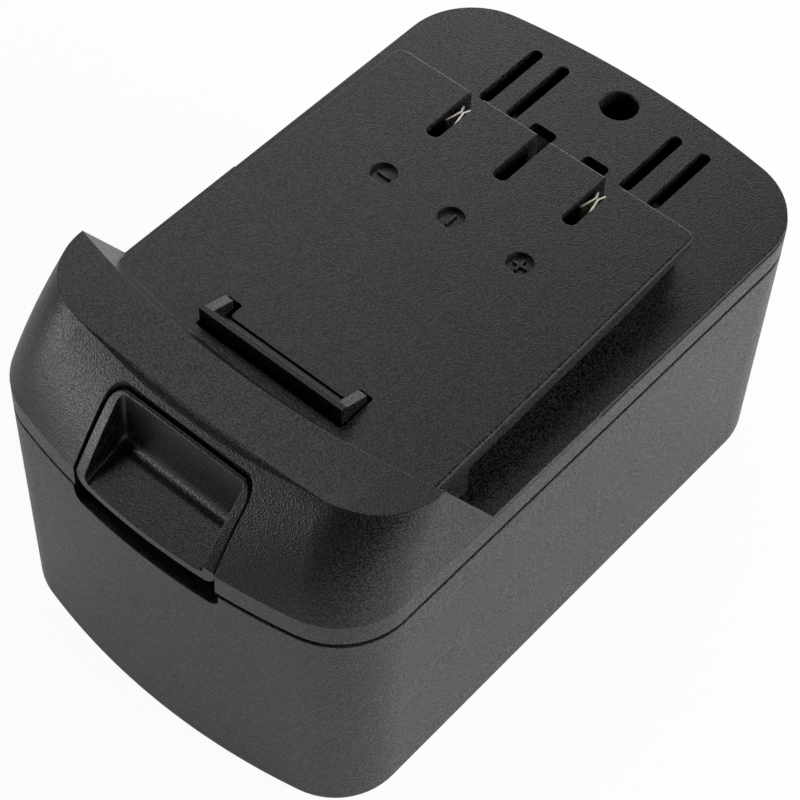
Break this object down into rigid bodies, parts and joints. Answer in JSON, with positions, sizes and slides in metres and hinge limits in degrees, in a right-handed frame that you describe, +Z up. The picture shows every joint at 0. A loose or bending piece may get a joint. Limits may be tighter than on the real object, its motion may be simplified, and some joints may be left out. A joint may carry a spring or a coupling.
{
  "type": "power tool battery pack",
  "caption": "Slide-on battery pack for a cordless power tool, with side rails, terminal slots, a horned nose and a spring-loaded release button with a catch.",
  "frame": {"origin": "middle of the underside, at the level it stands on", "axes": "+Y towards the terminal end, where the tool slides on; -Y towards the nose with the release button; +Z up out of the terminal platform; X across the width"},
  "size_m": [0.076, 0.1213, 0.0678],
  "materials": {
    "case_plastic": "spark-eroded moulding",
    "cover_plastic": "spark-eroded moulding",
    "latch_plastic": "satin moulding",
    "retainer_plastic": "plain moulding",
    "holder_plastic": "plain moulding",
    "terminal_plastic": "plain moulding",
    "cell_can": "nickel-plated can under a thin sleeve",
    "spring_steel": "drawn wire",
    "screw_steel": "zinc plated",
    "nickel_strip": "rolled nickel",
    "contact_brass": "stamped sheet",
    "insulator_paper": "smooth sheet",
    "foam_pad": "closed-cell foam",
    "board_laminate": "lacquered glass laminate",
    "moulded_resin": "moulded resin",
    "ceramic": "fired ceramic",
    "thermistor_resin": "dipped resin"
  },
  "bodies": {
    "pack": {"lower_case": "case_plastic", "upper_cover": "cover_plastic", "latch_spring_left": "spring_steel", "latch_spring_right": "spring_steel", "latch_retainer": "retainer_plastic", "retainer_screws": "screw_steel", "cell_01": "cell_can", "cell_02": "cell_can", "cell_03": "cell_can", "cell_04": "cell_can", "cell_05": "cell_can", "cell_06": "cell_can", "cell_07": "cell_can", "cell_08": "cell_can", "cell_09": "cell_can", "cell_10": "cell_can", "cell_holder_left": "holder_plastic", "cell_holder_right": "holder_plastic", "weld_strip_left_1": "nickel_strip", "weld_strip_left_2": "nickel_strip", "weld_strip_left_3": "nickel_strip", "weld_strip_right_1": "nickel_strip", "weld_strip_right_2": "nickel_strip", "weld_strip_right_3": "nickel_strip", "side_insulator_left": "insulator_paper", "side_insulator_right": "insulator_paper", "base_pad": "foam_pad", "circuit_board": "board_laminate", "board_screws": "screw_steel", "power_transistors": "moulded_resin", "control_chip": "moulded_resin", "board_capacitors": "ceramic", "thermistor": "thermistor_resin", "terminal_block": "terminal_plastic", "terminal_negative": "contact_brass", "terminal_signal": "contact_brass", "terminal_positive": "contact_brass", "case_screws": "screw_steel"},
    "latch": {"release_latch": "latch_plastic"}
  },
  "joints": [
    {"name": "latch_slide", "type": "slide", "parent": "pack", "child": "latch", "axis": [0, 0, -1], "range_m": [0, 0.0045], "stiffness_N_per_m": 600, "springref_m": -0.004, "deforming": ["latch_spring_left", "latch_spring_right"]}
  ]
}
